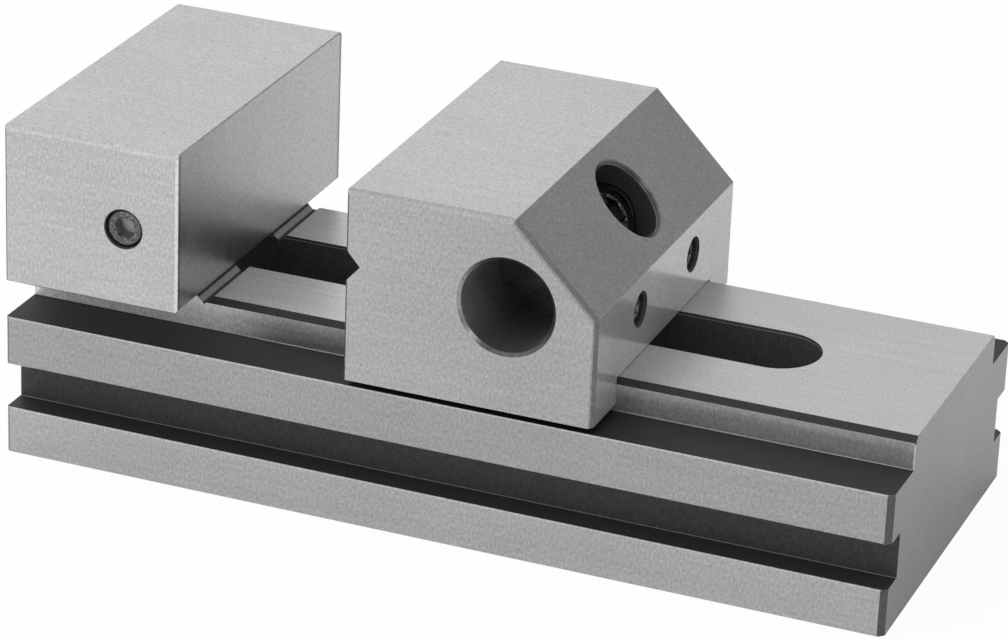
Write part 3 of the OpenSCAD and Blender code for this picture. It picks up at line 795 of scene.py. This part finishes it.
def jaw_finish_and_painted_light(graph, position, normal):
    """Bores, screw holes and the faces that look down over the bed and ledges are dark. The cross
    bore and its mouth are graded with painted light and shade, and the faces' tones, the back's
    foot, the chamfers and the head bore's mouth are painted light and shade.
    """
    x, y, z = graph.split(position)
    nx, ny, nz = graph.split(normal)
    side = graph.math("ABSOLUTE", y)
    sideways = graph.math("ABSOLUTE", ny)
    dx = graph.math("SUBTRACT", x, PIVOT.x)
    dz = graph.math("SUBTRACT", z, PIVOT.z)
    half_root = math.sqrt(0.5)
    outward = graph.math("MULTIPLY", graph.math("ADD", nx, nz), half_root)

    bore_reach = distance(graph, dx, dz)
    cross_bore = both(graph, within(graph, bore_reach, 0, CROSS_BORE_RADIUS + SKIN),
                      within(graph, side, 0, HALF_WIDTH - CROSS_BORE_CHAMFER + SKIN))
    cross_mouth = both(graph, within(graph, bore_reach, 0, CROSS_BORE_RADIUS + 1 * MM),
                       within(graph, side, HALF_WIDTH - CROSS_BORE_CHAMFER - 0.02 * MM,
                              HALF_WIDTH + 0.2 * MM), not_facing(graph, sideways))
    across = graph.math("MULTIPLY", graph.math("SUBTRACT", dx, dz), half_root)
    depth = graph.math("MULTIPLY", graph.math("ADD", dx, dz), half_root)
    reach = distance(graph, across, y)
    head_bore = both(graph, within(graph, reach, 0, HEAD_BORE_RADIUS + SKIN),
                     within(graph, depth, -40 * MM, SLOPE_REACH - 0.9 * MM))
    mouth_ring = both(graph, not_facing(graph, outward),
                      within(graph, reach, HEAD_BORE_RADIUS - 0.1 * MM,
                             HEAD_BORE_RADIUS + HEAD_BORE_CHAMFER + 0.2 * MM),
                      within(graph, depth, SLOPE_REACH - HEAD_BORE_CHAMFER, SLOPE_REACH + 0.2 * MM))
    painted_shade_ring_line = within(graph, reach, HEAD_BORE_RADIUS + 0.2 * MM, HEAD_BORE_RADIUS + 0.6 * MM)
    hole_reach = distance(graph, graph.math("SUBTRACT", side, BACK_HOLE_Y),
                          graph.math("SUBTRACT", z, BACK_HOLE_Z))
    holes = both(graph, within(graph, hole_reach, 0, BACK_HOLE_RADIUS + 0.9 * MM),
                 within(graph, x, 0, JAW_HIGH.x + 0.4 * MM), not_facing(graph, nx))
    under = both(graph, graph.ramp(nz, -0.9, -0.95),
                 within(graph, z, JAW_LOW.z - 1 * MM, BED_Z + 0.5 * MM))
    dark = either(graph, cross_bore, head_bore, holes, under)
    # Painted shade in the cross bore: its wall is darker low down than high up.
    cross_bore_painted_tone = graph.ramp(dz, -12 * MM, -4 * MM, 0.10, 0.25)
    dark_tone = painted(graph, 0.050, [(cross_bore, cross_bore_painted_tone)])

    side_face = facing(graph, sideways)
    side_painted_tone = graph.ramp(x, -20 * MM, 20 * MM, 0.50, 0.455, smooth=False)
    slope = graph.ramp(outward, 0.95, 0.98)
    back = both(graph, facing(graph, nx),
                within(graph, x, JAW_HIGH.x - 0.6 * MM, JAW_HIGH.x + 0.4 * MM))
    painted_shadow_back_foot = both(graph, back, graph.ramp(z, BED_Z + 0.3 * MM, BED_Z + 0.2 * MM),
                     graph.ramp(side, BED_HALF_WIDTH - 0.5 * MM, BED_HALF_WIDTH - 1 * MM))
    slanted = partly_sideways(graph, sideways)
    top_chamfer = both(graph, slanted, graph.ramp(nz, 0.6, 0.7), graph.ramp(nx, 0.3, 0.2))
    top_chamfer_painted_tone = graph.ramp(z, TOP_Z - 0.9 * MM, TOP_Z - 0.4 * MM, 0.49, 0.43)
    back_chamfer = both(graph, slanted, graph.ramp(nx, 0.3, 0.45))
    back_chamfer_painted_shade = graph.ramp(nz, 0.2, 0.4, 0.19, 0.135)
    back_border = both(graph, back_chamfer, graph.ramp(
        side, HALF_WIDTH - 0.5 * MM, HALF_WIDTH - 0.3 * MM))
    back_border_painted_highlight = graph.ramp(nz, 0.2, 0.4, 0.38, 0.25)
    cross_mouth_painted_tone = graph.ramp(dx, -11.5 * MM, -4 * MM, 0.40, 0.15)
    # Painted light and shade: these tones stand in for how the lamps and the floor light each face:
    # the near side darker towards the right, a painted shadow line at the back's foot, painted
    # highlight and shade on the chamfers, painted light on the left of the cross bore's mouth and
    # shade on its right, and painted shade bands on the head bore's mouth.
    tone = painted(graph, GROUND_TONE, [
        (side_face, side_painted_tone),
        (slope, 0.435),
        (back, 0.63),
        (painted_shadow_back_foot, 0.15),
        (top_chamfer, top_chamfer_painted_tone),
        (back_chamfer, back_chamfer_painted_shade),
        (back_border, back_border_painted_highlight),
        (cross_mouth, cross_mouth_painted_tone),
        (mouth_ring, 0.17),
        (both(graph, mouth_ring, painted_shade_ring_line), 0.09)])
    return {"dark": dark, "dark_tone": dark_tone, "tone": tone,
            "lapped": graph.math("MULTIPLY", back, 0.75),
            "haze": graph.math("MULTIPLY", back, 0.64), "light": 0.0}


def socket_reach(graph, position, mouth, axis):
    """Depth from a socket's mouth and distance from its axis. Both are the same for the
    mirrored screw on the other side, because places are taken without their signs."""
    mirrored = graph.vector("ABSOLUTE", position)
    offset = graph.vector("SUBTRACT", mirrored, [abs(value) for value in mouth])
    depth = graph.vector("DOT_PRODUCT", offset, axis)
    along = graph.node("ShaderNodeVectorMath", operation="SCALE")
    graph.wire(list(axis), along.inputs[0])
    graph.wire(depth, along.inputs["Scale"])
    reach = graph.vector("LENGTH", graph.vector("SUBTRACT", offset, along.outputs[0]))
    return depth, reach


def plain_steel(name, tone, rough_low, rough_high, edge_share=0.45, worn=0.0,
                patch_scale=1500, glints=0.0, socket=None, socket_painted_light_tone=0.0, rim_radius=None):
    """Turned or black-oxide steel of the small pieces, with worn edges and worn patches. The
    socket, if there is one, is (mouth, axis, across flats); its inside is painted lighter with a
    tone of its own, painted light where the socket lies in shade. Outside of rim_radius the end
    face is painted darker, a painted shade by the gap to the hole's wall."""
    material, graph, shader = new_material(name)
    position = object_coordinates(graph)["Object"]
    speckle = graph.noise(position, SMALL_SPECKLE, 3.0, 0.6)
    cloud = graph.noise(position, SMALL_CLOUD, 3.0, 0.55)
    edges = graph.group(EDGES, Radius=SMALL_EDGE)
    shade = graph.math("MULTIPLY", graph.ramp(speckle, 0.25, 0.75, 0.8, 1.2, smooth=False),
                       graph.ramp(cloud, 0.3, 0.7, 0.85, 1.12))
    value = graph.math("MULTIPLY", shade, tone)
    patches = graph.ramp(graph.noise(position, patch_scale, 2.0, 0.6), 0.48, 0.64)
    value = graph.blend(graph.math("MULTIPLY", patches, worn), value, 0.62)
    spots = graph.ramp(graph.noise(position, SMALL_SPOTS, 1.0, 0.5), 0.52, 0.60, 0, glints)
    wear = graph.blend(spots, edge_share, 1.0)
    bright = graph.blend(spots, 0.5, 0.95)
    polished = graph.math("MULTIPLY", edges["Mask"], spots)
    value = graph.blend(graph.math("MULTIPLY", edges["Mask"], wear), value, bright)
    if socket:
        mouth, axis, across_flats = socket
        depth, reach = socket_reach(graph, position, mouth, axis)
        corner = across_flats / 2 + 0.5 * MM
        inside = both(graph, graph.ramp(depth, -0.3 * MM, -0.5 * MM),
                      graph.ramp(reach, corner + SKIN, corner - SKIN))
        # Painted light inside the socket.
        value = graph.blend(inside, value, graph.math("MULTIPLY", shade, socket_painted_light_tone))
        if rim_radius:
            # Painted shade on the rim by the gap to the hole's wall.
            rim = graph.ramp(reach, rim_radius, rim_radius + 0.2 * MM, 1.0, 0.2)
            value = graph.math("MULTIPLY", value, rim)
    colour = graph.node("ShaderNodeCombineColor")
    for i in range(3):
        graph.wire(value, colour.inputs[i])
    graph.wire(colour.outputs[0], shader.inputs["Base Color"])
    shader.inputs["Metallic"].default_value = 1.0
    roughness = graph.ramp(cloud, 0.3, 0.7, rough_low, rough_high)
    graph.wire(graph.blend(polished, roughness, 0.12), shader.inputs["Roughness"])
    bump = graph.node("ShaderNodeBump")
    bump.inputs["Strength"].default_value = 0.15
    bump.inputs["Distance"].default_value = SMALL_BUMP
    graph.wire(speckle, bump.inputs["Height"])
    graph.wire(edges["Normal"], bump.inputs["Normal"])
    graph.wire(bump.outputs[0], shader.inputs["Normal"])
    return material


def assign(piece, material):
    piece.data.materials.clear()
    piece.data.materials.append(material)


# Studio

FLOOR_SIZE = 6
FLOOR_Z = -0.2 * MM
FLOOR_PAPER = 0.95
FLOOR_WHITENESS = 0.95
FLOOR_MIRRORED_WHITENESS = 0.25

# The world is bright on the left and dim on the right, between these two shares of X
WORLD_X = (-0.35, 0.42)
WORLD_LEFT = 1.0
WORLD_RIGHT = 0.38

# The photo's camera, fitted to the vise's corners: degrees, metres and pixels
CAMERA_YAW = -20.855
CAMERA_PITCH = -23.837
CAMERA_ROLL = 2.316
CAMERA_PLACE = (0.3631, -0.9578, 0.4924)
FOCAL_LENGTH_PIXELS = 4429.5
PHOTO_WIDTH_PIXELS = 1008
SENSOR_WIDTH = 36


def floor():
    deselect_all()
    bpy.ops.mesh.primitive_plane_add(size=FLOOR_SIZE, location=(0, 0, FLOOR_Z))
    plane = bpy.context.object
    plane.name = "studio_floor"
    material, graph, shader = new_material("floor_paper")
    shader.inputs["Base Color"].default_value = (FLOOR_PAPER, FLOOR_PAPER, FLOOR_PAPER, 1)
    shader.inputs["Roughness"].default_value = 0.9
    path = graph.node("ShaderNodeLightPath").outputs
    mirrored = graph.math("MAXIMUM", path["Is Glossy Ray"], path["Is Transmission Ray"])
    share = graph.math("MAXIMUM", graph.math("MULTIPLY", path["Is Camera Ray"], FLOOR_WHITENESS),
                       graph.math("MULTIPLY", mirrored, FLOOR_MIRRORED_WHITENESS))
    glow = graph.node("ShaderNodeEmission")
    glow.inputs["Color"].default_value = WHITE
    glow.inputs["Strength"].default_value = 1.0
    layers = graph.node("ShaderNodeMixShader")
    graph.wire(share, layers.inputs[0])
    graph.wire(shader.outputs[0], layers.inputs[1])
    graph.wire(glow.outputs[0], layers.inputs[2])
    output = next(n for n in graph.tree.nodes if n.type == "OUTPUT_MATERIAL")
    graph.wire(layers.outputs[0], output.inputs["Surface"])
    assign(plane, material)


def softbox(name, location, target, size, power):
    data = bpy.data.lights.new(name, "AREA")
    data.shape = "RECTANGLE"
    data.size, data.size_y = size
    data.energy = power
    lamp = bpy.data.objects.new(name, data)
    bpy.context.scene.collection.objects.link(lamp)
    lamp.location = location
    aim = Vector(target) - Vector(location)
    lamp.rotation_euler = aim.to_track_quat("-Z", "Y").to_euler()
    return lamp


def studio_world():
    world = bpy.data.worlds.new("studio")
    bpy.context.scene.world = world
    world.use_nodes = True
    world.node_tree.nodes.clear()
    graph = Graph(world.node_tree)
    background = graph.node("ShaderNodeBackground")
    output = graph.node("ShaderNodeOutputWorld")
    world.node_tree.links.new(background.outputs[0], output.inputs[0])
    direction = graph.node("ShaderNodeTexCoord").outputs["Generated"]
    x = graph.split(direction)[0]
    level = graph.ramp(x, *WORLD_X, WORLD_LEFT, WORLD_RIGHT, smooth=False)
    graph.wire(level, background.inputs["Strength"])
    background.inputs["Color"].default_value = WHITE


def camera():
    yaw = math.radians(CAMERA_YAW)
    pitch = math.radians(CAMERA_PITCH)
    roll = math.radians(CAMERA_ROLL)
    forward = Vector((math.sin(yaw) * math.cos(pitch), math.cos(yaw) * math.cos(pitch),
                      math.sin(pitch)))
    right = Vector((math.cos(yaw), -math.sin(yaw), 0))
    up = right.cross(forward)
    image_right = right * math.cos(roll) + up * math.sin(roll)
    image_up = up * math.cos(roll) - right * math.sin(roll)
    data = bpy.data.cameras.new("camera")
    data.sensor_fit = "HORIZONTAL"
    data.sensor_width = SENSOR_WIDTH
    data.lens = FOCAL_LENGTH_PIXELS / PHOTO_WIDTH_PIXELS * SENSOR_WIDTH
    data.clip_start = 0.05
    data.clip_end = 20
    eye = bpy.data.objects.new("camera", data)
    bpy.context.scene.collection.objects.link(eye)
    turn = Matrix((image_right, image_up, -forward)).transposed()
    eye.matrix_world = Matrix.Translation(CAMERA_PLACE) @ turn.to_4x4()
    bpy.context.scene.camera = eye


# The vise

assign(NODES["body"], ground_steel("ground_body", body_finish_and_painted_light))
assign(NODES["movable_jaw"], ground_steel("ground_jaw", jaw_finish_and_painted_light))
TURNED = plain_steel("turned_steel", tone=0.3, rough_low=0.28, rough_high=0.45)
OILED = plain_steel("oiled_steel", tone=0.13, rough_low=0.25, rough_high=0.4, edge_share=0.35)
# The sockets' own tones are painted light; the stop screws' rim is painted shade.
BLACK = plain_steel(
    "black_oxide", tone=0.06, rough_low=0.12, rough_high=0.22, edge_share=0.15, worn=0.05,
    glints=1.0, socket=(HEAD_TOP, SCREW_AXIS, SCREW_SOCKET), socket_painted_light_tone=0.30)
DULL = plain_steel(
    "dull_oxide", tone=0.12, rough_low=0.25, rough_high=0.4, edge_share=0.2, worn=0.24,
    patch_scale=1100, glints=1.0, socket=(STOP_MOUTH, (0, 1, 0), STOP_SCREW["socket"]),
    socket_painted_light_tone=0.38, rim_radius=4.25 * MM)
RUBBED = plain_steel(
    "rubbed_oxide", tone=0.22, rough_low=0.15, rough_high=0.3, edge_share=0.5, worn=0.5,
    glints=1.0, socket=(BACK_MOUTH, (1, 0, 0), BARREL_SCREW["socket"]), socket_painted_light_tone=0.80)

for node in ("thrust_washer", "nut_bar"):
    assign(NODES[node], TURNED)
assign(NODES["swivel_barrel"], OILED)
assign(NODES["end_ring"], BLACK)
assign(clamp_screw(), BLACK)
for piece in stop_screws():
    assign(piece, DULL)
for piece in barrel_screws():
    assign(piece, RUBBED)

floor()
studio_world()
key = softbox("key", location=(-0.8, -0.9, 1.0), target=(-0.1, 0, 0.04), size=(1.2, 1.2), power=5)
key.visible_glossy = False
softbox("bore_glint", location=(0.87, -0.76, 0.88), target=(0.03, 0, 0.07), size=(0.05, 0.05),
        power=0.6)
softbox("side_glint", location=(0.72, -0.84, 0.90), target=(-0.084, -0.05, 0.0675),
        size=(0.05, 0.05), power=0.5)
camera()

view = bpy.context.scene.view_settings
view.view_transform = "Standard"
